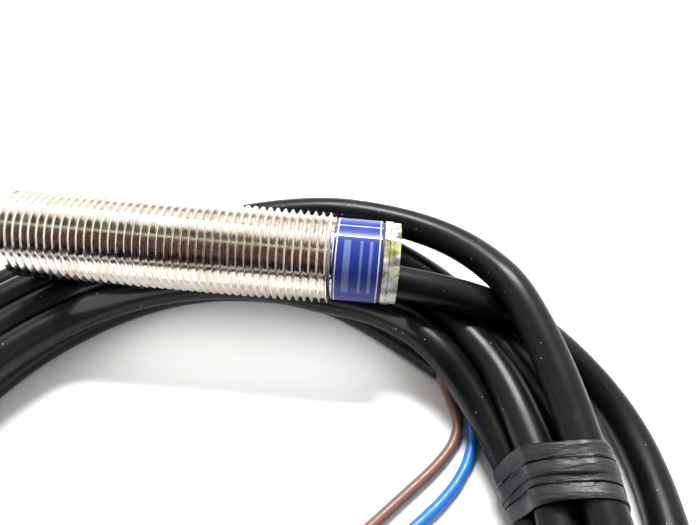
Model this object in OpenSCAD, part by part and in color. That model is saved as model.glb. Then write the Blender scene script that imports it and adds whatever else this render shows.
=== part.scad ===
// Cylindrical inductive proximity sensor, M12 x 1, flush mounting, two wires, with its
// two metre cable wound in loops and held by a tape tie. The sensor lies across the loops.
//
// Frame: the origin is the centre of the sensing face, +X runs back along the barrel
// towards the cable, and +Z is up. Millimetres.

/* [Barrel] */
// Major radius of the M12 thread
crest_r = 6; // [5.8:0.05:6.2]
// Thread pitch
pitch = 1; // [1:0.25:1.25]
// Length of the threaded stretch, from the sensing face
thread_l = 42; // [30:1:60]
// Length of the barrel, with the plain land behind the thread
barrel_l = 48; // [36:0.5:66]
// Radius of the plain land that the label is wrapped on
land_r = 5.3; // [5.2:0.05:5.35]
// Radius of the bore through the barrel
bore_r = 4.8; // [4.6:0.05:4.9]

/* [Rear end] */
// Thickness of the label
label_t = 0.12; // [0.08:0.01:0.15]
// Thickness of the dark seal between barrel and rear cap
seal_t = 0.3; // [0.2:0.05:0.5]
// Length of the part of the clear rear cap that shows
cap_l = 2; // [1.6:0.1:4]
// Outer radius of the clear rear cap
cap_r = 5.45; // [5.3:0.05:5.6]

/* [Sensing end] */
// Thickness of the front cap over the coil
face_t = 1.1; // [0.6:0.1:1.5]
// Outer radius of the ferrite core
core_r = 4.2; // [4:0.05:4.2]
// Length of the ferrite core
core_l = 3.2; // [3:0.1:4]

/* [Circuit board] */
// Width of the circuit board
board_w = 8; // [7:0.1:8]
// Thickness of the circuit board
board_t = 0.8; // [0.6:0.1:1]
// Height of the board's lower face over the barrel's axis
board_z = 0.4; // [0.3:0.05:0.6]
// Turn of the inside about the barrel's axis, in degrees
inside_turn = -49; // [-90:1:90]

/* [Cable] */
// Diameter of the cable's jacket
cable_d = 4.5; // [4:0.1:4.6]
// Distance of the cable's exit below the axis, before the inside is turned
exit_drop = 2.4; // [2:0.1:2.5]
// Diameter of an insulated lead
lead_d = 1.4; // [1.2:0.1:1.6]
// Diameter of the bare strands of a lead
strand_d = 0.75; // [0.6:0.05:0.9]

/* [Loops] */
// Height of the loops above the surface that they lie on
loops_h = 7.3; // [6:0.1:7.5]
// Inner radius of the loops
loops_in_r = 34.5; // [30:0.5:36]
// Outer radius of the loops
loops_out_r = 47; // [44:0.5:47]
// Thickness of the tape tie
tie_t = 0.8; // [0.5:0.1:1.2]
// Angle of the loops that the tie covers, in degrees
tie_angle = 11; // [8:1:24]

/* [Hidden] */
$fn = 64;
round_fn = 32;
tube_sides = 10;
lead_sides = 8;
eps = 0.01;

// Everything stands on this level: the loops lie on it and the barrel lies on the loops
floor_z = -14.2;
// The coil's solid stops a little under the barrel, so that a nut can run along the thread
loops_c = [32, -33.5, floor_z];
loops_edge = 2;

// Thread form
thread_depth = 0.6 * pitch;
crest_flat = 0.125 * pitch;
root_flat = 0.18 * pitch;
front_chamfer = 0.5;
groove_n = floor(thread_l / pitch) - 1;

// Rear end
label_x = thread_l + 0.15;
seal_x = barrel_l;
cap_x = barrel_l + seal_t;
cap_end = cap_x + cap_l;
cap_wall = 0.9;
cap_step = 0.15;
insert_l = 3.3;
insert_wall = 0.58;
jacket_x = 44;

// Sensing end
shield_t = 0.25;
skirt_l = 3.5;
core_x = face_t;
core_end = core_x + core_l;
core_base = 1;
core_wall = 0.65;
post_r = 1.55;
post_hole_r = 0.8;
flange_t = 0.2;
former_gap = 0.05;
former_wall = 0.35;
carrier_l = 1.6;
wire_r = 0.15;
wire_y = 2.9;

// Circuit board and what it carries
board_x = core_end + 0.8;
board_end = 48.9;
board_top = board_z + board_t;
pad_x = 39.6;
pad_y = 1.3;
pad_r = 0.6;
resin_x = 36;

// Chips: [middle along the barrel, middle across, length, width, height]
ceramic_chips = [
    [16.5, -2.4, 2, 1.2, 0.9],
    [16.5, 2.4, 2, 1.2, 0.9],
    [20.5, -2.4, 2, 1.2, 0.9],
    [24, 2.2, 2, 1.2, 0.9]
];
resistor_chips = [
    [7.4, -2, 1.6, 0.8, 0.5],
    [7.4, 2, 1.6, 0.8, 0.5],
    [20.5, 2.4, 1.6, 0.8, 0.5],
    [20.5, 0, 1.6, 0.8, 0.5],
    [24, -1.6, 1.6, 0.8, 0.5],
    [24, 0.3, 1.6, 0.8, 0.5]
];

// The cable from its exit, over the loops and round outside the tie, to the loops' outer wall
cable_route = [
    [54, -1.8, -1.6],
    [58.5, -1.7, -2.3],
    [63, -1.2, -3.8],
    [67, -0.6, -5.6],
    [71, -1, -8],
    [74.8, -4, -10.5],
    [78.4, -8.6, -11.9],
    [80.8, -14, -11.95],
    [82.1, -20, -11.95],
    [82.4, -26, -11.95],
    [82, -33, -11.95],
    [80.9, -41, -11.95],
    [77.6, -50.5, -11.95],
    [71.6, -60.5, -11.95],
    [63.5, -69, -11.95],
    [54.6, -75, -11.95]
];

// The two leads inside the loops, from the loops' inner wall
brown_route = [
    [60.1, -14.8, -13.5],
    [60, -16.6, -13.5],
    [59, -18.8, -13.5],
    [57, -21.2, -13.5],
    [53.6, -24.5, -13.5],
    [49.2, -28.8, -13.5],
    [44.8, -33.2, -13.5],
    [39.6, -37.6, -13.5],
    [33.4, -41, -13.5],
    [26.6, -42.8, -13.5]
];
blue_route = [
    [61.8, -18.4, -13.5],
    [61.2, -20.2, -13.5],
    [59.6, -23, -13.5],
    [57.4, -25.6, -13.5],
    [54.6, -28.2, -13.5],
    [50.2, -32, -13.5],
    [45.4, -36.6, -13.5],
    [39.8, -41.4, -13.5],
    [33.6, -45, -13.5],
    [27, -47.2, -13.5]
];
strand_l = 6;

// ---- helpers ----

// A round body about the barrel's axis, from x0 to x1
module round_x(x0, x1, r) {
    translate([x0, 0, 0])
        rotate([0, 90, 0])
            cylinder(h = x1 - x0, r = r);
}

// A tube about the barrel's axis
module ring_x(x0, x1, r, hole_r) {
    difference() {
        round_x(x0, x1, r);
        round_x(x0 - 1, x1 + 1, hole_r);
    }
}

// A round bar from a to b
module bar(a, b, r) {
    d = b - a;
    translate(a)
        rotate([0, acos(d[2] / norm(d)), atan2(d[1], d[0])])
            cylinder(h = norm(d), r = r, $fn = round_fn);
}

// What is turned with the circuit board about the barrel's axis
module inside() {
    rotate([inside_turn, 0, 0])
        children();
}

// A block that stands on the board's upper face, or hangs under its lower face
module on_board(x, y, l, w, h, under = false) {
    translate([x - l / 2, y - w / 2, under ? board_z - h : board_top])
        cube([l, w, h]);
}

// A point of the smooth curve through four route points, at t from 0 to 1 between b and c
function between(a, b, c, d, t) =
    0.5 * (2 * b + (c - a) * t + (2 * a - 5 * b + 4 * c - d) * t * t
        + (3 * b - a - 3 * c + d) * t * t * t);

function at(route, i) = route[min(max(i, 0), len(route) - 1)];

// The route made finer, with n steps to each of its stretches
function smooth(route, n) = [
    for (i = [0 : len(route) - 2])
        for (k = [0 : n - 1])
            between(at(route, i - 1), at(route, i), at(route, i + 1), at(route, i + 2), k / n),
    at(route, len(route) - 1)
];

function unit(v) = v / norm(v);

function along(path, i) = unit(at(path, i + 1) - at(path, i - 1));

// One ring of a tube, square to its path
function tube_ring(path, i, r, sides) =
    let (d = along(path, i), u = unit(cross(d, [0, 0, 1])), v = cross(u, d))
    [for (k = [0 : sides - 1]) path[i] + r * (cos(360 * k / sides) * u + sin(360 * k / sides) * v)];

// A closed tube of radius r along a path that never runs straight up
module tube(path, r, sides) {
    n = len(path);
    points = [for (i = [0 : n - 1]) each tube_ring(path, i, r, sides)];
    walls = [
        for (i = [0 : n - 2])
            for (k = [0 : sides - 1])
                let (next = (k + 1) % sides)
                    [i * sides + k, (i + 1) * sides + k, (i + 1) * sides + next, i * sides + next]
    ];
    start = [for (k = [0 : sides - 1]) k];
    end = [for (k = [sides - 1 : -1 : 0]) (n - 1) * sides + k];
    polyhedron(points, concat([start], walls, [end]));
}

// ---- the barrel and what closes it ----

// One groove of the thread, as points of the barrel's outline
function groove(i) =
    let (x = (i + 1) * pitch, root = crest_r - thread_depth, half = (pitch - crest_flat) / 2)
    [
        [crest_r, x - half],
        [root, x - root_flat / 2],
        [root, x + root_flat / 2],
        [crest_r, x + half]
    ];

module threaded_barrel() {
    outline = concat(
        [[bore_r, 0], [crest_r - front_chamfer, 0], [crest_r, front_chamfer * 0.8]],
        [for (i = [0 : groove_n - 1]) each groove(i)],
        [[crest_r, thread_l - 0.3], [land_r, thread_l + 0.1], [land_r, barrel_l], [bore_r, barrel_l]]
    );
    color("lightgray")
        rotate([0, 90, 0])
            rotate_extrude()
                polygon(outline);
}

module front_cap() {
    color("darkslategray")
        difference() {
            round_x(0, face_t + skirt_l, bore_r);
            round_x(face_t, face_t + skirt_l + 1, core_r + shield_t);
        }
}

module label_wrap() {
    color("royalblue")
        ring_x(label_x, barrel_l, land_r + label_t, land_r);
}

module rear_seal() {
    color("black")
        ring_x(seal_x, cap_x, land_r - 0.08, bore_r - 0.02);
}

// The cable's own space inside the sensor, and a little past it
module cable_space(x0, x1) {
    translate([0, 0, -exit_drop])
        round_x(x0, x1, cable_d / 2);
}

module rear_cap() {
    color("khaki", 0.5)
        inside()
            difference() {
                union() {
                    round_x(cap_x, cap_x + cap_l * 0.5, cap_r);
                    round_x(cap_x, cap_end, cap_r - cap_step);
                    round_x(barrel_l - insert_l, cap_x + eps, bore_r - 0.02);
                }
                round_x(barrel_l - insert_l - 1, cap_end - cap_wall, bore_r - insert_wall);
                cable_space(barrel_l - insert_l - 1, cap_end + 1);
            }
}

// ---- the sensing end ----

module shield_ring() {
    color("peru")
        ring_x(face_t, face_t + 4.1, core_r + shield_t, core_r);
}

// Both fine wires of the winding, or the holes that they pass
module wire_pair(x0, x1, r) {
    for (side = [-1, 1])
        translate([0, side * wire_y, board_z - wire_r])
            round_x(x0, x1, r);
}

module ferrite_core() {
    color("dimgray")
        inside()
            difference() {
                round_x(core_x, core_end, core_r);
                difference() {
                    round_x(core_x - 1, core_end - core_base, core_r - core_wall);
                    round_x(core_x - 2, core_end, post_r);
                }
                round_x(core_x - 1, core_end + 1, post_hole_r);
                wire_pair(core_x + 1, core_end + 1, wire_r * 2);
            }
}

former_x = core_x + former_gap;
former_end = core_end - core_base - former_gap;

module coil_former() {
    color("white")
        difference() {
            union() {
                round_x(former_x, former_end, post_r + former_gap + former_wall);
                for (x = [former_x, former_end - flange_t])
                    round_x(x, x + flange_t, core_r - core_wall - former_gap);
            }
            round_x(former_x - 1, former_end + 1, post_r + former_gap);
        }
}

module sensing_coil() {
    color("darkgoldenrod")
        ring_x(former_x + flange_t, former_end - flange_t,
            core_r - core_wall - 0.25, post_r + former_gap + former_wall);
}

module coil_wires() {
    color("darkgoldenrod")
        inside()
            wire_pair(former_end, board_x + 2.2, wire_r);
}

module board_carrier() {
    color("ivory")
        inside()
            difference() {
                round_x(core_end, core_end + carrier_l, core_r - 0.05);
                board_space();
                wire_pair(core_end - 1, core_end + carrier_l + 1, wire_r * 2);
            }
}

// ---- the circuit board and what it carries ----

module board_space() {
    translate([board_x, -board_w / 2, board_z])
        cube([board_end - board_x, board_w, board_t]);
}

module circuit_board() {
    color("darkgreen")
        inside()
            board_space();
}

// A chip with a row of bent pins along both long sides
module pinned_chip(x, l, w, h, pins, under = false) {
    pin_w = 0.4;
    pin_out = 0.7;
    on_board(x, 0, l, w, h, under);
    for (i = [0 : pins - 1])
        on_board(x + (i - (pins - 1) / 2) * l / pins, 0, pin_w, w + 2 * pin_out, h * 0.3, under);
}

module control_chip() {
    color("black")
        inside()
            pinned_chip(11.6, 5, 3.9, 1.5, 4);
}

module output_switch() {
    color("black")
        inside()
            union() {
                on_board(30, 0, 6.5, 3.5, 1.6);
                on_board(30, -0.6, 3, 5.4, 0.4);
            }
}

module bridge_rectifier() {
    color("black")
        inside()
            pinned_chip(31.5, 4.7, 3.9, 2.4, 2, under = true);
}

module surge_suppressor() {
    color("black")
        inside()
            pinned_chip(25.5, 4.3, 2.6, 2.1, 1, under = true);
}

module smoothing_capacitor() {
    color("orange")
        inside()
            on_board(18.5, 0, 6, 3.2, 2.6, under = true);
}

module chips(list) {
    for (c = list)
        on_board(c[0], c[1], c[2], c[3], c[4]);
}

module ceramic_capacitors() {
    color("tan")
        inside()
            chips(ceramic_chips);
}

module chip_resistors() {
    color("black")
        inside()
            chips(resistor_chips);
}

module status_lamps() {
    color("gold")
        inside()
            for (side = [-1, 1]) {
                on_board(47.8, side * 2.3, 1.8, 1.2, 0.5);
                translate([47.8, side * 2.3, board_top + 0.5 - eps])
                    cylinder(h = 0.5, r = 0.5, $fn = round_fn);
            }
}

module solder_joints() {
    color("silver")
        inside()
            for (side = [-1, 1])
                translate([pad_x - 0.9, side * pad_y, board_z - 0.5])
                    cylinder(h = 0.5, r = pad_r, $fn = round_fn);
}

// One insulated lead from the jacket's inner end up to its pad on the board
module inner_lead(side) {
    bar([pad_x, side * pad_y, board_z - lead_d / 2 - 0.1], [jacket_x, side * 0.9, -exit_drop], lead_d / 2);
}

module brown_inner_lead() {
    color("saddlebrown")
        inside()
            difference() {
                inner_lead(-1);
                cable_space(jacket_x, jacket_x + 2);
            }
}

module blue_inner_lead() {
    color("dodgerblue")
        inside()
            difference() {
                inner_lead(1);
                cable_space(jacket_x, jacket_x + 2);
            }
}

module potting_resin() {
    insert_x = barrel_l - insert_l;
    color("goldenrod", 0.6)
        inside()
            difference() {
                union() {
                    round_x(resin_x, insert_x, bore_r);
                    round_x(insert_x - eps, barrel_l - 0.6, bore_r - insert_wall);
                }
                board_space();
                cable_space(jacket_x, cap_end);
                inner_lead(-1);
                inner_lead(1);
                for (side = [-1, 1]) {
                    translate([pad_x - 0.9, side * pad_y, board_z - 0.5])
                        cylinder(h = 0.5, r = pad_r, $fn = round_fn);
                    on_board(47.8, side * 2.3, 1.9, 1.3, 2);
                }
            }
}

// ---- the cable ----

module cable_inner_end() {
    color("black")
        inside()
            cable_space(jacket_x, cap_end);
}

exit_point = [
    cap_end,
    sin(inside_turn) * exit_drop,
    -cos(inside_turn) * exit_drop
];

module cable_lead() {
    color("black")
        tube(smooth(concat([exit_point], cable_route), 3), cable_d / 2, tube_sides);
}

// The outline of the loops' section, with its corners taken off
loops_section = [
    [loops_in_r + loops_edge, 0],
    [loops_out_r - loops_edge, 0],
    [loops_out_r, loops_edge],
    [loops_out_r, loops_h - loops_edge],
    [loops_out_r - loops_edge, loops_h],
    [loops_in_r + loops_edge, loops_h],
    [loops_in_r, loops_h - loops_edge],
    [loops_in_r, loops_edge]
];

module cable_coil() {
    color("black")
        translate(loops_c)
            rotate_extrude($fn = 96)
                polygon(loops_section);
}

// A saddle of tape over the loops, down to the surface on both sides
module coil_tie() {
    tie_middle = 14;
    color("dimgray")
        translate(loops_c)
            rotate([0, 0, tie_middle - tie_angle / 2])
                rotate_extrude(angle = tie_angle)
                    difference() {
                        polygon([
                            [loops_in_r - tie_t, 0],
                            [loops_out_r + tie_t, 0],
                            [loops_out_r + tie_t, loops_h - loops_edge + tie_t],
                            [loops_out_r - loops_edge, loops_h + tie_t],
                            [loops_in_r + loops_edge, loops_h + tie_t],
                            [loops_in_r - tie_t, loops_h - loops_edge + tie_t]
                        ]);
                        polygon(loops_section);
                    }
}

module brown_lead() {
    color("saddlebrown")
        tube(smooth(brown_route, 2), lead_d / 2, lead_sides);
}

module blue_lead() {
    color("dodgerblue")
        tube(smooth(blue_route, 2), lead_d / 2, lead_sides);
}

// The stripped end of a lead, in line with its last stretch
module strands(route) {
    last = len(route) - 1;
    tip = route[last];
    d = unit(tip - route[last - 1]);
    bar(tip, tip + strand_l * d, strand_d / 2);
}

module brown_strands() {
    color("peru")
        strands(brown_route);
}

module blue_strands() {
    color("peru")
        strands(blue_route);
}

threaded_barrel();
front_cap();
shield_ring();
ferrite_core();
coil_former();
sensing_coil();
coil_wires();
board_carrier();
circuit_board();
control_chip();
output_switch();
bridge_rectifier();
surge_suppressor();
smoothing_capacitor();
ceramic_capacitors();
chip_resistors();
status_lamps();
solder_joints();
brown_inner_lead();
blue_inner_lead();
potting_resin();
label_wrap();
rear_seal();
rear_cap();
cable_inner_end();
cable_lead();
cable_coil();
coil_tie();
brown_lead();
blue_lead();
brown_strands();
blue_strands();
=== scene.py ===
import math

import bmesh
import bpy
import numpy as np
from mathutils import Matrix, Vector


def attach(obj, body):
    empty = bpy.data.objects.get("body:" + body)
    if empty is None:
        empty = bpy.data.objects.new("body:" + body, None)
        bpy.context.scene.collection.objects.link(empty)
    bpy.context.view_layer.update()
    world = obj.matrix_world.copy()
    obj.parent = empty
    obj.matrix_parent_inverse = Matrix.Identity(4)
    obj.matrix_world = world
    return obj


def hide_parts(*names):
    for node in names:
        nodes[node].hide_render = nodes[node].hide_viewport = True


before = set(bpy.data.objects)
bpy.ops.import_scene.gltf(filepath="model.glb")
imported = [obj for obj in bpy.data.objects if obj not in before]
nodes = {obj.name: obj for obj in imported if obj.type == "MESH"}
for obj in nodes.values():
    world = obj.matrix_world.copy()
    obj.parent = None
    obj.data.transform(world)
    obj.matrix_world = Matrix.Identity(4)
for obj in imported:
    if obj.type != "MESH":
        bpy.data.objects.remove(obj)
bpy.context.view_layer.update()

scene = bpy.context.scene
MM = 0.001

# ---- the object's main sizes, in millimetres, as part.scad has them ----

FLOOR_Z = -14.2
CREST_R = 6.0
FRONT_R = 5.5
# How fast the thread rises from the front edge, and falls to the land over its last stretch
FRONT_SLOPE = 1.1
RUN_OUT_SLOPE = 1.9
RUN_OUT_L = 0.25
PITCH = 1.0
THREAD_L = 42.0
BARREL_L = 48.0
LAND_R = 5.3
BORE_R = 4.8
LABEL_X = 42.15
CAP_END = 50.3
CAP_R = 5.45
CAP_STEP_X = 49.0
CAP_ROUNDING = 0.18
CABLE_D = 4.5
LEAD_D = 1.4
STRAND_D = 0.75
LOOP_MIDDLE = np.array([32.0, -33.5])
EXIT = np.array([50.3, -1.811, -1.575])

# ---- what only the visual model has ----

# The tie's two edges along Y, and how far from the loops' middle it reaches
TIE_Y = (-27.4, -21.6)
TIE_REACH = 49.5
# The room that the tape needs under the lowest strand
TAPE_UNDER = 0.5
# How the bundle leans across the tie, and how far the tape stands off it on its slack side
TIE_LEAN = 0.28
TAPE_SLACK = 0.9
# The side where it stands off: its middle direction and half its width, in degrees
TAPE_SLACK_SIDE = (125, 45)
# Each turn of tape: where on the tie's width it starts and ends, how far it lies off the cable,
# its thickness, and a shift of its waves
TAPE_TURNS = [
    (0.0, 0.62, 0.03, 0.2, 1.0),
    (0.42, 1.0, 0.22, 0.2, 4.0),
]
STRAND_L = 6.0
LABEL_R = 5.42
LABEL_LAP = math.radians(100)
LABEL_RULES_X = (42.4, 47.72)
LABEL_RULES_TURN = (math.radians(79), math.radians(99))
# Plain bars round the label: place along X, half width
LABEL_BARS = ((43.75, 0.42), (45.5, 0.16), (46.7, 0.2))
LABEL_BARS_TURN = (math.radians(143), math.radians(38))
ROOM_WHITE = (1.0, 1.0, 1.0)
ROOM_WALL = (0.4, 0.37, 0.33)
ROOM_DIM = (0.06, 0.07, 0.04)
ROOM_LAMP = (0.9, 0.95, 0.75)
ROOM_BLACK = (0.004, 0.004, 0.004)
# The room by the angle from overhead towards the near side, in degrees: the colour straight across from
# the sensor, how far that colour reaches to the sides, and the grey level beyond it
ROOM = [
    (-100, ROOM_WHITE, 0.0, 0.9),
    (-82, ROOM_WALL, 0.0, 1.0),
    (-80, ROOM_WALL, 0.5, 1.0),
    (-66, ROOM_WALL, 0.5, 1.0),
    (-64, ROOM_WALL, 0.0, 1.0),
    (-42, ROOM_WALL, 0.0, 1.0),
    (-40, ROOM_WALL, 0.5, 1.0),
    (-29, ROOM_WALL, 0.5, 1.0),
    (-27, ROOM_WALL, 0.0, 1.0),
    (-8, ROOM_DIM, 0.0, 1.0),
    (0, ROOM_DIM, 0.35, 1.0),
    (10, ROOM_DIM, 0.55, 1.0),
    (18, ROOM_DIM, 0.7, 1.0),
    (19, ROOM_LAMP, 0.7, 1.0),
    (22, ROOM_LAMP, 0.72, 1.0),
    (24, (0.09, 0.05, 0.04), 0.73, 1.0),
    (62, (0.08, 0.042, 0.036), 0.75, 0.8),
    (68, ROOM_BLACK, 0.78, 0.6),
    (98, ROOM_BLACK, 0.78, 0.6),
]
# Where across the room the dark part has its middle
ROOM_MIDDLE = -0.2
ROOM_STRENGTH = 1.35


# ---- camera ----

def add_camera():
    """The camera stands over the loops and looks down at the sensor from its cable side."""
    turn, down, roll = (math.radians(a) for a in (-2.45, 49.0, 3.1))
    right = Vector((math.cos(turn), -math.sin(turn), 0))
    ahead = Vector((math.sin(turn), math.cos(turn), 0))
    up = Vector((0, 0, 1))
    below = -math.cos(down) * up - math.sin(down) * ahead
    look = math.cos(down) * ahead - math.sin(down) * up
    axis_x = math.cos(roll) * right - math.sin(roll) * below
    axis_y = -(math.sin(roll) * right + math.cos(roll) * below)
    data = bpy.data.cameras.new("camera")
    data.lens = 27.0
    data.sensor_width = 36.0
    data.clip_start = 0.005
    camera = bpy.data.objects.new("camera", data)
    place = Vector((46.03, -45.71, 52.08)) * MM
    turned = Matrix((axis_x, axis_y, -look)).transposed().to_4x4()
    camera.matrix_world = Matrix.Translation(place) @ turned
    scene.collection.objects.link(camera)
    scene.camera = camera


add_camera()

# ---- the cable's winding ----

# One list for each turn round the loops, clockwise from above and from the sensor on:
# [angle about the loops' middle in degrees, radius, height of the cable's middle over the surface]
TURNS = [
    [[60, 36.6, 12.6], [55, 38.2, 12.6], [50, 40.4, 11.6], [45.5, 43.1, 10.1], [43, 45.3, 8.9],
     [41, 47.3, 7.6], [38.5, 49.5, 5.6], [36, 51, 4.2], [33, 52.4, 3], [28, 53.8, 2.3], [21, 54.2, 2.3],
     [13, 53.2, 2.3], [8, 51.4, 2.5], [-10, 49.8, 3.8], [-25, 49.5, 5.6], [-45, 49.5, 6.7],
     [-75, 49, 6.7], [-100, 48, 6.6], [-130, 46.8, 6.4], [-160, 46, 6.2], [-207, 45.7, 6.1],
     [-223, 45.3, 6.1], [-240, 45, 6], [-252, 45.2, 6.6], [-262, 45.6, 8.2], [-274, 46.6, 9.7],
     [-288, 48.3, 10.4], [-296, 49.2, 10.9]],
    [[57, 49.1, 12], [51, 48.3, 12.7], [46, 46.7, 13.1], [40, 44.8, 13.1], [34.5, 43.9, 12.6],
     [29, 43.5, 12], [24, 42.7, 11.6], [19.8, 41.2, 11], [8, 40.3, 10.6], [-15, 42.8, 9.8],
     [-35, 46, 7.6], [-55, 46.8, 4], [-75, 46.9, 2.3], [-120, 47.5, 2.3], [-207, 47.9, 2.3],
     [-250, 47.2, 2.3], [-280, 46.2, 2.3]],
    [[60, 46.2, 2.3], [45, 46.4, 2.3], [30, 46.2, 2.3], [22, 44.6, 2.7], [8, 44.6, 2.7],
     [-10, 46.4, 2.3], [-30, 48.4, 2.3], [-50, 50, 2.3], [-80, 50.8, 2.3], [-140, 50.8, 2.3],
     [-180, 50.8, 2.3], [-207, 52.3, 2.3], [-235, 51, 2.3], [-252, 49.8, 2.4], [-266, 48.6, 3.6],
     [-280, 47.2, 5]],
    [[65, 45.5, 6.1], [53, 45.8, 5.8], [46, 45.5, 5.2], [40, 45, 5], [34, 44.4, 5.8], [28, 43.5, 6.3],
     [20, 42.9, 6.6], [8, 42.9, 6.6], [-30, 43, 6.3], [-60, 42, 8], [-90, 41.8, 10], [-130, 41.4, 7.5],
     [-180, 41.2, 6.1], [-207, 41.3, 6.1], [-225, 41.1, 6.1], [-250, 40.9, 6], [-280, 41, 6]],
    [[60, 41.9, 6.6], [50, 41.6, 6.7], [45, 41.2, 6.7], [40, 40.5, 6.6], [34, 39, 7], [27, 37.9, 7.8],
     [20, 37.1, 8.3], [8, 37.1, 8.3], [-30, 38, 7], [-60, 37, 7], [-90, 36.3, 8], [-130, 36.8, 7.5],
     [-180, 37.2, 6.7], [-207, 37.6, 6.6], [-222, 37, 6.4], [-238, 36.6, 6], [-254, 35.8, 5.9],
     [-270, 35.5, 6.2], [-285, 35.7, 6.4]],
    [[60, 37.3, 6.5], [52, 38, 6.5], [47, 38, 6.2], [42, 37.8, 5.3], [38, 37.6, 4.4], [33, 37.6, 4.1],
     [28, 37, 4], [22, 36.4, 3.9], [8, 36.3, 3.9], [-30, 37.3, 2.5], [-60, 38.5, 4.5], [-90, 40.5, 6.8],
     [-120, 42.5, 5], [-150, 43.4, 2.5], [-207, 43.4, 2.3], [-250, 42.6, 2.3], [-280, 41.6, 2.3]],
    [[60, 41.6, 2.3], [30, 41.4, 2.3], [22, 40.6, 2.7], [8, 40.6, 2.7], [-30, 42, 2.3], [-60, 41.5, 2.3],
     [-90, 40.2, 2.3], [-120, 38.8, 2.3], [-150, 38.4, 2.3], [-207, 38.3, 2.3], [-232, 37.7, 2.3],
     [-248, 38.3, 2.3], [-258, 38.6, 2.3], [-278, 37.7, 2.3], [-290, 36.6, 2.3]],
    [[62, 36.1, 2.3], [53, 36, 2.3], [47, 36.5, 2.3], [44, 36.9, 2.3]],
]
FIRST_ANGLE = 60
SPACING = 2.5
# How far the loops are pressed in on the side away from the sensor
NEAR_TUCK = 6.0
# The turns under the others, which give way first
HIDDEN_TURNS = (2, 6)
HIDDEN_SHIFT = -0.3
# How often the turns are drawn back to where they are wanted and then pushed apart
ROUNDS = 300
# What is left between two strands
STRAND_GAP = 0.03


def evened(line, spacing):
    """The line again, with points about that far apart."""
    along = np.concatenate([[0], np.cumsum(np.linalg.norm(np.diff(line, axis=0), axis=1))])
    at = np.linspace(0, along[-1], int(round(along[-1] / spacing)) + 1)
    return np.stack([np.interp(at, along, line[:, k]) for k in range(3)], axis=1)


def length_of(line):
    return float(np.linalg.norm(np.diff(line, axis=0), axis=1).sum())


def smoothed(values, times, share):
    """Each value drawn towards the middle of its two neighbours; the ends stay."""
    for _ in range(times):
        drawn = values.copy()
        drawn[1:-1] += share * (0.5 * (values[:-2] + values[2:]) - values[1:-1])
        values = drawn
    return values


def laid_out():
    """Where the cable's middle line is wanted, before its turns push each other aside."""
    rows = sorted([360 * k + FIRST_ANGLE - a, r, h] for k, turn in enumerate(TURNS) for a, r, h in turn)
    rows = np.array(rows, float)
    turned = np.arange(0, rows[-1, 0] + 0.5, 1.0)
    angle = np.radians(FIRST_ANGLE - turned)
    radius = np.interp(turned, rows[:, 0], rows[:, 1])
    radius -= NEAR_TUCK * np.clip(-np.sin(angle), 0, 1) ** 2
    height = np.interp(turned, rows[:, 0], rows[:, 2])
    line = np.stack([
        LOOP_MIDDLE[0] + radius * np.cos(angle),
        LOOP_MIDDLE[1] + radius * np.sin(angle),
        FLOOR_Z + height,
    ], axis=1)
    line[0] = EXIT
    return smoothed(evened(line, SPACING), 8, 0.8)


def pushed_apart(line, pairs, gap, ease):
    """Points of the line that lie too near each other move apart, and the easier ones move more."""
    i, j = pairs
    between = line[i] - line[j]
    far = np.linalg.norm(between, axis=1)
    hit = far < gap
    if not hit.any():
        return line
    i, j, between, far = i[hit], j[hit], between[hit], far[hit]
    move = between / far[:, None] * ((gap - far) / (ease[i] + ease[j]))[:, None]
    total, count = np.zeros_like(line), np.zeros(len(line))
    for k, sign in ((i, 1), (j, -1)):
        np.add.at(total, k, sign * ease[k][:, None] * move)
        np.add.at(count, k, 1)
    total[:2] = 0
    share = np.minimum(count, 2) / np.maximum(count, 1)
    return line + total * share[:, None]


def kept_clear(line):
    """On or over the surface, over the tape under the tie, and outside the barrel."""
    middle, half = (TIE_Y[0] + TIE_Y[1]) / 2, (TIE_Y[1] - TIE_Y[0]) / 2
    lift = TAPE_UNDER * np.clip(2 - np.abs(line[:, 1] - middle) / half, 0, 1)
    reach = np.hypot(line[:, 0] - LOOP_MIDDLE[0], line[:, 1] - LOOP_MIDDLE[1])
    lift[(reach > TIE_REACH) | (line[:, 0] < LOOP_MIDDLE[0])] = 0
    line[:, 2] = np.maximum(line[:, 2], FLOOR_Z + CABLE_D / 2 + lift)
    beside = (line[:, 0] > -1) & (line[:, 0] < CAP_END + 0.2)
    beside[:3] = False
    away = np.hypot(line[:, 1], line[:, 2])
    need = np.where(line[:, 0] < THREAD_L + 1, CREST_R, CAP_R + 0.05) + CABLE_D / 2
    hit = beside & (away < need) & (away > 0)
    line[hit, 1:] *= (need[hit] / away[hit])[:, None]
    return line


def wound():
    """The cable's middle line with its turns beside and on each other, a diameter apart."""
    wanted = laid_out()
    line = wanted.copy()
    i, j = np.triu_indices(len(line), 4)
    near = np.linalg.norm(wanted[i] - wanted[j], axis=1) < 3 * CABLE_D
    pairs = (i[near], j[near])
    turned = np.linspace(0, len(TURNS) - 1, len(line))
    ease = np.where(np.isin(np.round(turned + HIDDEN_SHIFT), HIDDEN_TURNS), 1.0, 0.3)
    rounds = ROUNDS
    for k in range(rounds):
        left = 1 - k / rounds
        if left > 0.05:
            drift = (1 - 0.15 * left ** 2) * (line - wanted)
            line = wanted + smoothed(drift, 1, 0.2 + 0.5 * left)
        else:
            line = smoothed(line, 1, 0.12)
        for _ in range(2):
            line = kept_clear(pushed_apart(line, pairs, CABLE_D + STRAND_GAP, ease))
    return line


cable_line = wound()


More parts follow.
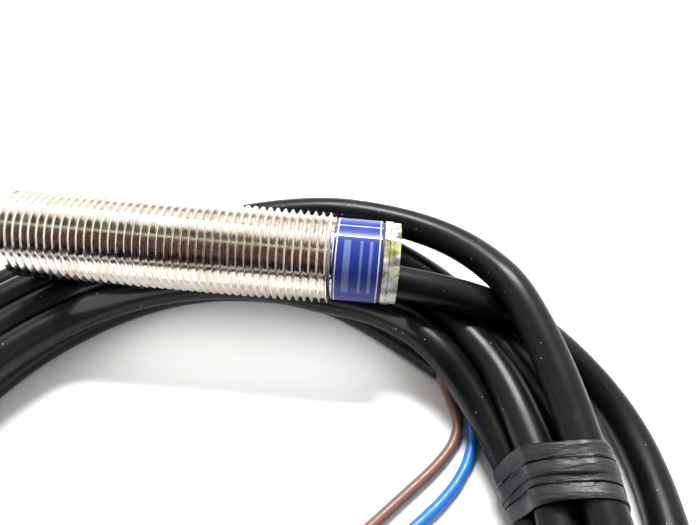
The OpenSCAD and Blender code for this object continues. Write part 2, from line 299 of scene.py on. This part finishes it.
def add_curve(name, line, diameter, resolution=3, sides=6):
    """A round cord along a line of points in millimetres."""
    curve = bpy.data.curves.new(name, "CURVE")
    curve.dimensions = "3D"
    curve.bevel_depth = diameter / 2 * MM
    curve.bevel_resolution = sides
    curve.resolution_u = resolution
    curve.use_fill_caps = True
    spline = curve.splines.new("NURBS")
    spline.points.add(len(line) - 1)
    for point, place in zip(spline.points, line):
        point.co = (*(Vector(place) * MM), 1)
    spline.order_u = 4
    spline.use_endpoint_u = True
    spline.use_smooth = True
    obj = bpy.data.objects.new(name, curve)
    scene.collection.objects.link(obj)
    return obj


# The leads from the jacket's cut end, side by side; inside the loops they run as part.scad has them
jacket_end = cable_line[-1]
BROWN_ROUTE = [
    [58.1, -10.2, -12.4], [59.1, -12, -13.1], [59.9, -13.4, -13.5], [60.3, -14.8, -13.5],
    [60, -16.6, -13.5], [59, -18.8, -13.5], [57, -21.2, -13.5], [53.6, -24.5, -13.5],
    [49.2, -28.8, -13.5], [44.8, -33.2, -13.5], [39.6, -37.6, -13.5], [33.4, -41, -13.5],
    [26.6, -42.8, -13.5],
]
BLUE_ROUTE = [
    [59.8, -9.9, -12.2], [61.2, -12.2, -12.9], [62, -14.6, -13.5], [62.1, -17, -13.5],
    [61.2, -20.2, -13.5], [59.6, -23, -13.5], [57.4, -25.6, -13.5], [54.6, -28.2, -13.5],
    [50.2, -32, -13.5], [45.4, -36.6, -13.5], [39.8, -41.4, -13.5], [33.6, -45, -13.5],
    [27, -47.2, -13.5],
]
end_way = jacket_end - cable_line[-3]
end_way = end_way / np.linalg.norm(end_way)
end_side = np.cross(end_way, [0, 0, 1])


def lead_line(route, aside):
    inside = jacket_end - 1.5 * end_way + aside * end_side
    out = jacket_end + 0.7 * end_way + aside * end_side
    line = np.array([inside, out] + route, float)
    return evened(smoothed(line, 1, 0.3), 1.6)


brown_line = lead_line(BROWN_ROUTE, 0.75)
blue_line = lead_line(BLUE_ROUTE, -0.75)

# ---- meshes ----


def add_mesh(name, verts, faces, smooth=True):
    """A mesh object from points in millimetres."""
    mesh = bpy.data.meshes.new(name)
    mesh.from_pydata([tuple(Vector(v) * MM) for v in verts], [], faces)
    mesh.validate()
    if smooth:
        mesh.shade_smooth()
    obj = bpy.data.objects.new(name, mesh)
    scene.collection.objects.link(obj)
    return obj


def cleaned(obj, merge=0.0004):
    """Joins points that coincide, drops what is left of no size, and turns the faces outwards."""
    mesh = bmesh.new()
    mesh.from_mesh(obj.data)
    bmesh.ops.remove_doubles(mesh, verts=mesh.verts, dist=merge * MM)
    bmesh.ops.dissolve_degenerate(mesh, edges=mesh.edges, dist=merge * MM)
    bmesh.ops.recalc_face_normals(mesh, faces=mesh.faces)
    mesh.to_mesh(obj.data)
    mesh.free()
    return obj


def sharpened(obj, degrees):
    """Smooth shading, but for edges that bend by more than this."""
    obj.data.shade_smooth()
    obj.data.set_sharp_from_angle(angle=math.radians(degrees))
    return obj


def around_x(x, r, angle):
    return (x, r * math.cos(angle), r * math.sin(angle))


def fillet(corner, start, end, steps=4):
    """A rounded corner of an outline, between a start and an end point."""
    rounded = []
    for i in range(steps + 1):
        t = i / steps
        rounded.append((
            (1 - t) ** 2 * start[0] + 2 * t * (1 - t) * corner[0] + t * t * end[0],
            (1 - t) ** 2 * start[1] + 2 * t * (1 - t) * corner[1] + t * t * end[1],
        ))
    return rounded


def thread_profile():
    """One pitch of the thread, as (share of the pitch, depth under the crest)."""
    deep = 0.6
    return [
        (0.0, 0.0), (0.045, 0.012), (0.075, 0.05),
        (0.25, 0.29),
        (0.40, 0.54), (0.44, 0.585), (0.50, deep), (0.56, 0.585), (0.60, 0.54),
        (0.75, 0.29),
        (0.925, 0.05), (0.955, 0.012),
    ]


def add_barrel():
    """The nickel plated barrel: a right-hand thread that follows its helix, and the plain land behind it."""
    sides = 96
    profile = thread_profile()
    shares = [share for share, _ in profile] + [1.0]
    depths = [depth for _, depth in profile] + [0.0]
    steps = [(turn + share) * PITCH for turn in range(-2, int(THREAD_L / PITCH) + 2) for share, _ in profile]

    def radius_at(x, step):
        """The radius at x, where step is the place along the thread's own profile."""
        thread = CREST_R - float(np.interp(step / PITCH % 1, shares, depths))
        front = FRONT_R + FRONT_SLOPE * x
        run_out = CREST_R - RUN_OUT_SLOPE * (x - THREAD_L + RUN_OUT_L)
        return max(min(thread, front, run_out), LAND_R)

    verts = []
    for k in range(sides + 1):
        shift = PITCH * k / sides
        column = []
        for step in steps:
            x = min(max(step + shift, 0.0), THREAD_L + 0.12)
            column.append((x, radius_at(x, x - shift)))
        column += fillet((BARREL_L, LAND_R), (BARREL_L - 0.15, LAND_R), (BARREL_L, LAND_R - 0.15), 3)
        column += [(BARREL_L, BORE_R), (0.0, BORE_R)]
        verts += [around_x(x, r, 2 * math.pi * k / sides) for x, r in column]
    rows = len(verts) // (sides + 1)
    faces = []
    for k in range(sides):
        for i in range(rows):
            n = (i + 1) % rows
            faces.append((k * rows + i, k * rows + n, (k + 1) * rows + n, (k + 1) * rows + i))
    return sharpened(cleaned(add_mesh("barrel_body", verts, faces)), 34)


def crossings(y):
    """Where the cable's middle line passes a plane across the loops' right side, as (x, z) pairs."""
    found = []
    for before, after in zip(cable_line[:-1], cable_line[1:]):
        if before[0] > LOOP_MIDDLE[0] and (before[1] - y) * (after[1] - y) <= 0 and before[1] != after[1]:
            point = before + (y - before[1]) / (after[1] - before[1]) * (after - before)
            if np.hypot(point[0] - LOOP_MIDDLE[0], y - LOOP_MIDDLE[1]) < TIE_REACH:
                found.append((float(point[0]), float(point[2])))
    return found


def wrapped_round(strands, offset, count):
    """A tight outline round the strands' cross-sections, as count points evenly spaced from the bottom on."""
    reach = CABLE_D / 2 + offset
    hull = []
    for k in range(360):
        way = math.radians(k - 90)
        normal = (math.cos(way), math.sin(way))
        x, z = max(strands, key=lambda s: s[0] * normal[0] + s[1] * normal[1])
        hull.append((x + reach * normal[0], z + reach * normal[1], 0.0))
    closed = np.array(hull + hull[:1])
    return evened(closed, length_of(closed) / count)[:count]


def bump(turn, middle, half):
    """From 0 to 1 and back, about a direction; all three in degrees."""
    off = abs((turn - middle + 180) % 360 - 180)
    return math.cos(math.pi / 2 * min(off / half, 1)) ** 2


def tape_edges(turn):
    """Where the tape's two edges lie along Y, by the direction from the bundle's middle in degrees."""
    near = TIE_Y[0] + 0.7 * bump(turn, 10, 60) - 0.4 * bump(turn, 200, 50)
    far = TIE_Y[1] - 2.2 * bump(turn, 5, 55) - 0.9 * bump(turn, 205, 45)
    return near, far


def tape_band(start, end, offset, thick, shift):
    """One turn of tape round the bundle, over a share of the tie's width, with drawn creases."""
    count, rings = 120, 17
    points = []
    for ring in range(rings):
        share = start + (end - start) * ring / (rings - 1)
        edge = min(ring, rings - 1 - ring)
        y = TIE_Y[0] + share * (TIE_Y[1] - TIE_Y[0])
        outline = wrapped_round(crossings(y), offset, count)
        middle = outline.mean(axis=0)
        for level in (0.0, thick):
            row = []
            for x, z, _ in outline:
                turn = math.degrees(math.atan2(z - middle[1], x - middle[0]))
                away = (math.cos(math.radians(turn)), math.sin(math.radians(turn)))
                wave = math.radians(turn) + shift
                crease = 0.06 * math.sin(0.6 * ring + 1.6 * math.sin(wave))
                crease += 0.03 * math.sin(2.3 * ring + 2 * math.sin(3 * wave))
                thickness = level + crease - 0.08 * (edge == 0) if level else 0
                lift = thickness + TAPE_SLACK * bump(turn, *TAPE_SLACK_SIDE)
                near, far = tape_edges(turn)
                along = near + share * (far - near) + 0.12 * math.sin(3 * wave) * (edge < 3)
                lean = TIE_LEAN * (y - along)
                low = FLOOR_Z + 0.05 + (0 if level else 0.2)
                row.append((x + lean + lift * away[0], along, max(z + lift * away[1], low)))
            points.append(row)
    verts = [point for row in points for point in row]
    faces = []
    for ring in range(rings - 1):
        for level, step in ((0, 1), (1, -1)):
            a, b = (2 * ring + level) * count, (2 * ring + 2 + level) * count
            for k in range(count):
                n = (k + 1) % count
                faces.append((a + k, a + n, b + n, b + k)[::step])
    for ring in (0, rings - 1):
        a, b = 2 * ring * count, (2 * ring + 1) * count
        faces += [(a + k, b + k, b + (k + 1) % count, a + (k + 1) % count) for k in range(count)]
    return verts, faces


def add_tie():
    """The tape that holds the loops: two turns, one half over the other."""
    verts, faces = [], []
    for band in TAPE_TURNS:
        more_verts, more_faces = tape_band(*band)
        faces += [tuple(len(verts) + i for i in face) for face in more_faces]
        verts += more_verts
    obj = add_mesh("tie_tape", verts, faces)
    return sharpened(cleaned(obj), 60)


def add_strands(name, line):
    """The stripped end of a lead: seven fine wires in a long twist, a little splayed at the tip."""
    wire_r = STRAND_D / 6
    verts, faces = [], []
    count, sides = len(line), 8
    start, end = line[0], line[-1]
    way = (end - start) / np.linalg.norm(end - start)
    side = np.cross(way, [0, 0, 1])
    side /= np.linalg.norm(side)
    up = np.cross(side, way)
    for wire in range(7):
        base = len(verts)
        for i, point in enumerate(line):
            along = i / (count - 1)
            turned = 2 * math.pi * (wire / 6 + 0.8 * along)
            spread = 0 if wire == 6 else 2 * wire_r * (1 + 0.15 * along ** 3)
            middle = point + spread * (math.cos(turned) * side + math.sin(turned) * up)
            reach = 0.93 * wire_r
            for k in range(sides):
                a = 2 * math.pi * k / sides
                verts.append(tuple(middle + reach * (math.cos(a) * side + math.sin(a) * up)))
        for i in range(count - 1):
            for k in range(sides):
                n = (k + 1) % sides
                row, after = base + i * sides, base + (i + 1) * sides
                faces.append((row + k, row + n, after + n, after + k))
        faces.append(tuple(base + k for k in reversed(range(sides))))
        faces.append(tuple(base + (count - 1) * sides + k for k in range(sides)))
    return cleaned(add_mesh(name, verts, faces))


def add_label():
    """The printed label, a film wrapped once round the land, with its lap."""
    sides, lap = 120, 0.06
    outline = [(LABEL_X, LAND_R), (LABEL_X, LABEL_R - 0.02), (LABEL_X + 0.02, LABEL_R),
               (BARREL_L - 0.02, LABEL_R), (BARREL_L, LABEL_R - 0.02), (BARREL_L, LAND_R)]
    verts, faces = [], []
    for k in range(sides + 1):
        turned = 2 * math.pi * k / sides
        lift = lap * max(0.0, 1 - k / 4)
        verts += [around_x(x, r + (lift if r > LAND_R else 0), turned + LABEL_LAP) for x, r in outline]
    rows = len(outline)
    for k in range(sides):
        for i in range(rows):
            n = (i + 1) % rows
            faces.append((k * rows + i, k * rows + n, (k + 1) * rows + n, (k + 1) * rows + i))
    faces.append(tuple(range(rows)))
    faces.append(tuple(sides * rows + i for i in reversed(range(rows))))
    return sharpened(cleaned(add_mesh("label_film", verts, faces)), 40)


# ---- finishes ----


class Finish:
    """A material under construction: its shader, and short calls for the nodes that lead into it."""

    def __init__(self, name, colour, roughness, metallic=0.0, **sockets):
        self.material = bpy.data.materials.new(name)
        self.material.use_nodes = True
        self.nodes = self.material.node_tree.nodes
        self.links = self.material.node_tree.links
        self.shader = self.nodes["Principled BSDF"]
        self.colour = (*colour, 1)
        self.set("Base Color", self.colour)
        self.set("Roughness", roughness)
        self.set("Metallic", metallic)
        for socket, value in sockets.items():
            self.set(socket.replace("_", " "), value)
        place = self.nodes.new("ShaderNodeTexCoord")
        to_mm = {0: place.outputs["Object"], 1: (1000,) * 3}
        self.place = self.node("ShaderNodeVectorMath", to_mm, operation="MULTIPLY")

    def set(self, socket, value):
        if isinstance(value, bpy.types.NodeSocket):
            self.links.new(value, self.shader.inputs[socket])
        else:
            self.shader.inputs[socket].default_value = value

    def node(self, kind, inputs=None, output=0, **settings):
        """A new node's output; the object's own millimetres are self.place."""
        node = self.nodes.new(kind)
        for key, value in settings.items():
            setattr(node, key, value)
        for key, value in (inputs or {}).items():
            if isinstance(value, bpy.types.NodeSocket):
                self.links.new(value, node.inputs[key])
            else:
                node.inputs[key].default_value = value
        return node.outputs[output]

    def scaled(self, stretch):
        return self.node("ShaderNodeVectorMath", {0: self.place, 1: stretch}, operation="MULTIPLY")

    def noise(self, scale, detail=3.0, stretch=(1, 1, 1)):
        inputs = {"Vector": self.scaled(stretch), "Scale": scale, "Detail": detail}
        return self.node("ShaderNodeTexNoise", inputs)

    def ramp(self, value, stops):
        """A colour ramp; each stop is (position, colour or grey level)."""
        node = self.nodes.new("ShaderNodeValToRGB")
        self.links.new(value, node.inputs[0])
        points = node.color_ramp.elements
        while len(points) < len(stops):
            points.new(0.5)
        for point, (at, level) in zip(points, stops):
            point.position = at
            point.color = (*level, 1) if isinstance(level, tuple) else (level, level, level, 1)
        return node.outputs[0]

    def math(self, operation, a, b=0.0, c=0.0):
        return self.node("ShaderNodeMath", {0: a, 1: b, 2: c}, operation=operation)

    def blend(self, share, a, b):
        """Colour a where share is 0 and b where it is 1."""
        node = self.nodes.new("ShaderNodeMix")
        node.data_type = "RGBA"
        for socket, value in ((node.inputs[0], share), (node.inputs[6], a), (node.inputs[7], b)):
            if isinstance(value, bpy.types.NodeSocket):
                self.links.new(value, socket)
            else:
                socket.default_value = value
        return node.outputs[2]

    def shaded(self, share, lighter=1.25, darker=0.75):
        """The base colour, varied between darker and lighter as share goes from 0 to 1."""
        low = tuple(c * darker for c in self.colour[:3]) + (1,)
        high = tuple(min(c * lighter, 1) for c in self.colour[:3]) + (1,)
        return self.blend(share, low, high)

    def bump(self, height, strength, distance):
        """A bump of that real depth in millimetres."""
        inputs = {"Height": height, "Strength": strength, "Distance": distance * MM}
        self.set("Normal", self.node("ShaderNodeBump", inputs))

    def rough(self, share, low, high):
        inputs = {"Value": share, "From Min": 0.3, "From Max": 0.7, "To Min": low, "To Max": high}
        self.set("Roughness", self.node("ShaderNodeMapRange", inputs))

    def specks(self, scale, size, share):
        """A mask of small bright dust grains, a share of the cells of a cell pattern."""
        cells = {"Vector": self.place, "Scale": scale}
        near = self.node("ShaderNodeTexVoronoi", cells)
        chosen = self.node("ShaderNodeTexVoronoi", cells, output=1)
        some = self.math("LESS_THAN", self.node("ShaderNodeSeparateColor", {0: chosen}), share)
        return self.math("MULTIPLY", self.math("LESS_THAN", near, size), some)


def jacket_finish():
    """Black plastic jacket: satin, faintly mottled, with a few grains of dust."""
    finish = Finish("cable_black", (0.004, 0.004, 0.005), 0.28, Specular_IOR_Level=0.2)
    cloud = finish.noise(0.25, 4)
    finish.rough(cloud, 0.26, 0.36)
    dust = finish.specks(1.1, 0.062, 0.35)
    finish.set("Base Color", finish.blend(dust, finish.shaded(cloud, 1.5, 0.7), (0.55, 0.56, 0.55, 1)))
    finish.bump(finish.noise(3.5, 5), 0.25, 0.03)
    return finish.material


def lead_finish(name, colour):
    finish = Finish(name, colour, 0.38)
    cloud = finish.noise(0.35, 3)
    finish.set("Base Color", finish.shaded(cloud, 1.12, 0.88))
    finish.rough(finish.noise(1.5, 4), 0.32, 0.46)
    finish.bump(finish.noise(6, 3), 0.2, 0.015)
    return finish.material


def tape_finish():
    """Black tape: stretched, so it is dull and drawn into fine lines along its length."""
    finish = Finish("tie_black", (0.012, 0.012, 0.012), 0.42, Specular_IOR_Level=0.45)
    cloud = finish.noise(0.5, 5)
    finish.set("Base Color", finish.shaded(cloud, 1.9, 0.6))
    finish.rough(cloud, 0.3, 0.55)
    drawn = finish.noise(0.9, 5, (0.6, 3.2, 0.6))
    finish.bump(drawn, 0.7, 0.16)
    return finish.material


def nickel_finish():
    """Bright nickel over turned brass: fine rings from the tool, faint stains in the plating."""
    finish = Finish("nickel", (0.76, 0.71, 0.66), 0.14, 1.0)
    stain = finish.noise(0.45, 4)
    warm = finish.ramp(stain, [(0.35, (0.72, 0.66, 0.59)), (0.6, (0.82, 0.77, 0.71))])
    finish.set("Base Color", warm)
    finish.rough(finish.noise(1.1, 5), 0.08, 0.2)
    finish.bump(finish.noise(1.0, 4, (26, 1.5, 1.5)), 0.22, 0.02)
    return finish.material


def label_finish():
    """Blue printed film with plain white rules round its edges and along its lap."""
    finish = Finish("label_blue", (0.022, 0.042, 0.26), 0.3, Coat_Weight=0.08, Coat_Roughness=0.2,
                    Specular_IOR_Level=0.2)
    axis = finish.node("ShaderNodeSeparateXYZ", {0: finish.place}, output=0)
    y = finish.node("ShaderNodeSeparateXYZ", {0: finish.place}, output=1)
    z = finish.node("ShaderNodeSeparateXYZ", {0: finish.place}, output=2)
    turned = finish.math("ARCTAN2", z, y)
    rules = None
    for value, places, half in ((axis, LABEL_RULES_X, 0.07), (turned, LABEL_RULES_TURN, 0.013)):
        for at in places:
            line = finish.math("COMPARE", value, at, half)
            rules = line if rules is None else finish.math("MAXIMUM", rules, line)
    bars = None
    for at, half in LABEL_BARS:
        bar = finish.math("COMPARE", axis, at, half)
        bars = bar if bars is None else finish.math("MAXIMUM", bars, bar)
    bars = finish.math("MULTIPLY", bars, finish.math("COMPARE", turned, *LABEL_BARS_TURN))
    printed = finish.blend(bars, finish.shaded(finish.noise(0.4, 3), 1.25, 0.8), (0.14, 0.19, 0.46, 1))
    finish.set("Base Color", finish.blend(rules, printed, (0.72, 0.74, 0.8, 1)))
    finish.bump(finish.noise(2.2, 3), 0.15, 0.03)
    return finish.material


def clear_finish():
    """Clear plastic, slightly yellow and cloudy in places, with painted shade: a thin dark line where it
    steps.
    """
    finish = Finish("clear_cap", (0.97, 0.97, 0.86), 0.1, IOR=1.5)
    cloud = finish.noise(0.4, 1.5)
    yellow, pale, clear = (0.66, 0.68, 0.26), (0.92, 0.94, 0.8), (1.0, 1.0, 0.97)
    tint = finish.ramp(cloud, [(0.38, yellow), (0.5, pale), (0.6, clear)])
    axis = finish.node("ShaderNodeSeparateXYZ", {0: finish.place}, output=0)
    # Painted shade: a thin dark band in the colour where the cap steps
    step = finish.math("COMPARE", axis, CAP_STEP_X, 0.04)
    finish.set("Base Color", finish.blend(step, tint, (0.12, 0.12, 0.09, 1)))
    depth = finish.noise(0.55, 1, (1, 1.3, 1.3))
    finish.set("Transmission Weight", finish.ramp(depth, [(0.36, 0.2), (0.58, 0.85)]))
    finish.rough(cloud, 0.04, 0.12)
    finish.bump(finish.noise(0.8, 2, (2.2, 0.7, 0.7)), 0.3, 0.1)
    return finish.material


def plain_finish(name, colour, roughness, metallic=0.0, scale=1.5, grain=8.0, depth=0.01, **sockets):
    """Cast, moulded or drawn stuff: the colour drifts a little, with a fine grain over it."""
    finish = Finish(name, colour, roughness, metallic, **sockets)
    cloud = finish.noise(scale, 4)
    finish.set("Base Color", finish.shaded(cloud, 1.15, 0.85))
    finish.rough(finish.noise(2 * scale, 4), roughness * 0.8, roughness * 1.2)
    finish.bump(finish.noise(grain, 3), 0.3, depth)
    return finish.material


def wound_finish(name, colour, pitch):
    """Fine wire laid side by side: a ripple along the axis, one wave for each wire."""
    finish = Finish(name, colour, 0.3, 0.85)
    axis = finish.node("ShaderNodeSeparateXYZ", {0: finish.place}, output=0)
    ripple = finish.math("SINE", finish.math("MULTIPLY", axis, 2 * math.pi / pitch))
    finish.set("Base Color", finish.shaded(finish.noise(2, 3), 1.2, 0.75))
    finish.bump(ripple, 0.6, pitch / 3)
    return finish.material


def board_finish():
    """Green mask over glass fibre: tracks show as slightly raised lighter lines."""
    finish = Finish("board", (0.04, 0.2, 0.08), 0.35, Coat_Weight=0.3, Coat_Roughness=0.2)
    tracks = finish.node("ShaderNodeTexBrick", {
        "Vector": finish.place, "Scale": 1.0, "Color1": (0.03, 0.17, 0.07, 1), "Color2": (0.04, 0.2, 0.08, 1),
        "Mortar": (0.09, 0.32, 0.13, 1), "Mortar Size": 0.08, "Brick Width": 3.1, "Row Height": 1.3,
    })
    finish.set("Base Color", tracks)
    finish.bump(tracks, 0.4, 0.05)
    return finish.material


def floor_finish():
    """White paper sweep: even, with the faintest mottling."""
    finish = Finish("floor_white", (0.9, 0.9, 0.9), 0.75)
    finish.set("Base Color", finish.shaded(finish.noise(0.02, 2), 1.01, 0.985))
    return finish.material


def dress(obj, material):
    """Gives a new piece its material and its slot, and sets it on the sensor."""
    obj.data.materials.clear()
    obj.data.materials.append(material)
    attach(obj, "root")
    return obj


def repaint(name, material):
    """Gives a CAD node a finished material."""
    mesh = nodes[name].data
    mesh.materials.clear()
    mesh.materials.append(material)


# ---- the pieces ----

cable = add_curve("cable_black_loops", cable_line, CABLE_D)
tie = add_tie()
brown = add_curve("brown_lead_curve", brown_line, LEAD_D, 2, 5)
blue = add_curve("blue_lead_curve", blue_line, LEAD_D, 2, 5)


def stripped(line):
    way = (line[-1] - line[-4]) / np.linalg.norm(line[-1] - line[-4])
    return np.array([line[-1] + way * (t - 1.0) for t in np.linspace(0, STRAND_L + 1.0, 24)])


brown_wires = add_strands("brown_lead_wires", stripped(brown_line))
blue_wires = add_strands("blue_lead_wires", stripped(blue_line))
barrel = add_barrel()
label = add_label()

copper = plain_finish("bare_copper", (0.86, 0.46, 0.27), 0.25, 1.0, 1.2, 9)
dress(cable, jacket_finish())
dress(tie, tape_finish())
dress(brown, lead_finish("lead_brown", (0.17, 0.085, 0.055)))
dress(blue, lead_finish("lead_blue", (0.015, 0.16, 0.62)))
dress(brown_wires, copper)
dress(blue_wires, copper)
dress(barrel, nickel_finish())
dress(label, label_finish())

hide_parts("cable_lead", "cable_coil")
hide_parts("coil_tie")
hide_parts("brown_lead")
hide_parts("blue_lead")
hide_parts("brown_strands")
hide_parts("blue_strands")
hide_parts("threaded_barrel")
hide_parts("label_wrap")

repaint("front_cap", plain_finish("face_plastic", (0.1, 0.11, 0.13), 0.5, 0, 1.0, 7, 0.02))
repaint("shield_ring", plain_finish("shield_copper", (0.72, 0.45, 0.28), 0.3, 1.0))
repaint("ferrite_core", plain_finish("ferrite", (0.06, 0.06, 0.065), 0.7, 0, 2.0, 12, 0.03))
repaint("coil_former", plain_finish("former_plastic", (0.85, 0.84, 0.8), 0.45))
repaint("sensing_coil", wound_finish("enamelled_copper", (0.62, 0.28, 0.1), 0.12))
repaint("coil_wires", plain_finish("enamelled_wire", (0.62, 0.28, 0.1), 0.3, 0.85))
repaint("board_carrier", plain_finish("carrier_plastic", (0.78, 0.76, 0.66), 0.5))
repaint("circuit_board", board_finish())
for chip in ("control_chip", "output_switch", "bridge_rectifier"):
    repaint(chip, plain_finish(chip + "_epoxy", (0.02, 0.02, 0.022), 0.55, 0, 2.0, 14, 0.02))
repaint("surge_suppressor", plain_finish("suppressor_epoxy", (0.03, 0.03, 0.035), 0.5, 0, 2.0, 14, 0.02))
repaint("smoothing_capacitor", plain_finish("capacitor_orange", (0.75, 0.4, 0.07), 0.45))
repaint("ceramic_capacitors", plain_finish("ceramic_tan", (0.55, 0.4, 0.24), 0.6))
repaint("chip_resistors", plain_finish("resistor_black", (0.03, 0.03, 0.03), 0.45))
repaint("status_lamps", plain_finish("lamp_yellow", (0.9, 0.72, 0.12), 0.2, 0, 1.5, 6, 0.01,
                                     Transmission_Weight=0.4))
repaint("solder_joints", plain_finish("solder", (0.72, 0.72, 0.74), 0.3, 1.0))
repaint("brown_inner_lead", lead_finish("inner_brown", (0.23, 0.125, 0.085)))
repaint("blue_inner_lead", lead_finish("inner_blue", (0.03, 0.25, 0.78)))
repaint("potting_resin", plain_finish("resin", (0.05, 0.05, 0.05), 0.35, 0, 0.8, 5, 0.03))
repaint("rear_seal", plain_finish("seal_rubber", (0.03, 0.032, 0.036), 0.6))
repaint("rear_cap", clear_finish())
rounding = nodes["rear_cap"].modifiers.new("rounding", "BEVEL")
rounding.width = CAP_ROUNDING * MM
rounding.segments = 3
rounding.angle_limit = math.radians(40)
repaint("cable_inner_end", jacket_finish())

# ---- floor and light ----

FLOOR_REACH = 3000.0
floor_corners = [(x * FLOOR_REACH, y * FLOOR_REACH, FLOOR_Z) for x, y in ((-1, -1), (1, -1), (1, 1), (-1, 1))]
floor = add_mesh("floor", floor_corners, [(0, 1, 2, 3)], False)
floor.data.materials.append(floor_finish())


def add_light(name, place, target, size, power, colour=(1, 1, 1)):
    data = bpy.data.lights.new(name, "AREA")
    data.shape = "RECTANGLE"
    data.size, data.size_y = size
    data.energy = power
    data.color = colour
    light = bpy.data.objects.new(name, data)
    light.location = place
    light.rotation_euler = (Vector(target) - Vector(place)).to_track_quat("-Z", "Y").to_euler()
    scene.collection.objects.link(light)


add_light("softbox_behind", (0.0, 0.28, 0.52), (0.03, -0.02, 0), (0.3, 0.06), 6.5)
add_light("bounce_off_barrel", (0.03, -0.0068, -0.0048), (0.03, -0.0078, -0.0142), (0.044, 0.004), 0.002)


def set_world():
    """A bright room, dark on the side where someone would stand to look at the sensor."""
    world = bpy.data.worlds.new("room")
    scene.world = world
    world.use_nodes = True
    tree = world.node_tree

    def node(kind, inputs, output=0, **settings):
        made = tree.nodes.new(kind)
        for key, value in settings.items():
            setattr(made, key, value)
        for key, value in inputs.items():
            if isinstance(value, bpy.types.NodeSocket):
                tree.links.new(value, made.inputs[key])
            else:
                made.inputs[key].default_value = value
        return made.outputs[output]

    def ramp(share, column):
        made = tree.nodes.new("ShaderNodeValToRGB")
        tree.links.new(share, made.inputs[0])
        points = made.color_ramp.elements
        while len(points) < len(ROOM):
            points.new(0.5)
        for point, row in zip(points, ROOM):
            value = row[column]
            point.position = 0.5 + row[0] / 360
            point.color = (*value, 1) if isinstance(value, tuple) else (value, value, value, 1)
        return made.outputs[0]

    place = node("ShaderNodeTexCoord", {})
    x, y, z = (node("ShaderNodeSeparateXYZ", {0: place}, k) for k in range(3))
    turned = node("ShaderNodeMath", {0: y, 1: z}, operation="ARCTAN2")
    share = node("ShaderNodeMapRange", {0: turned, "From Min": math.pi, "From Max": -math.pi})
    shifted = node("ShaderNodeMath", {0: x, 1: ROOM_MIDDLE}, operation="SUBTRACT")
    aside = node("ShaderNodeMath", {0: shifted}, operation="ABSOLUTE")
    over = node("ShaderNodeMath", {0: aside, 1: ramp(share, 2)}, operation="SUBTRACT")
    beyond = node("ShaderNodeMapRange", {0: over, "From Min": -0.03, "From Max": 0.03})
    mixed = tree.nodes.new("ShaderNodeMix")
    mixed.data_type = "RGBA"
    for k, value in ((0, beyond), (6, ramp(share, 1)), (7, ramp(share, 3))):
        tree.links.new(value, mixed.inputs[k])
    back = tree.nodes["Background"]
    tree.links.new(mixed.outputs[2], back.inputs[0])
    back.inputs[1].default_value = ROOM_STRENGTH


set_world()
scene.view_settings.view_transform = "Standard"
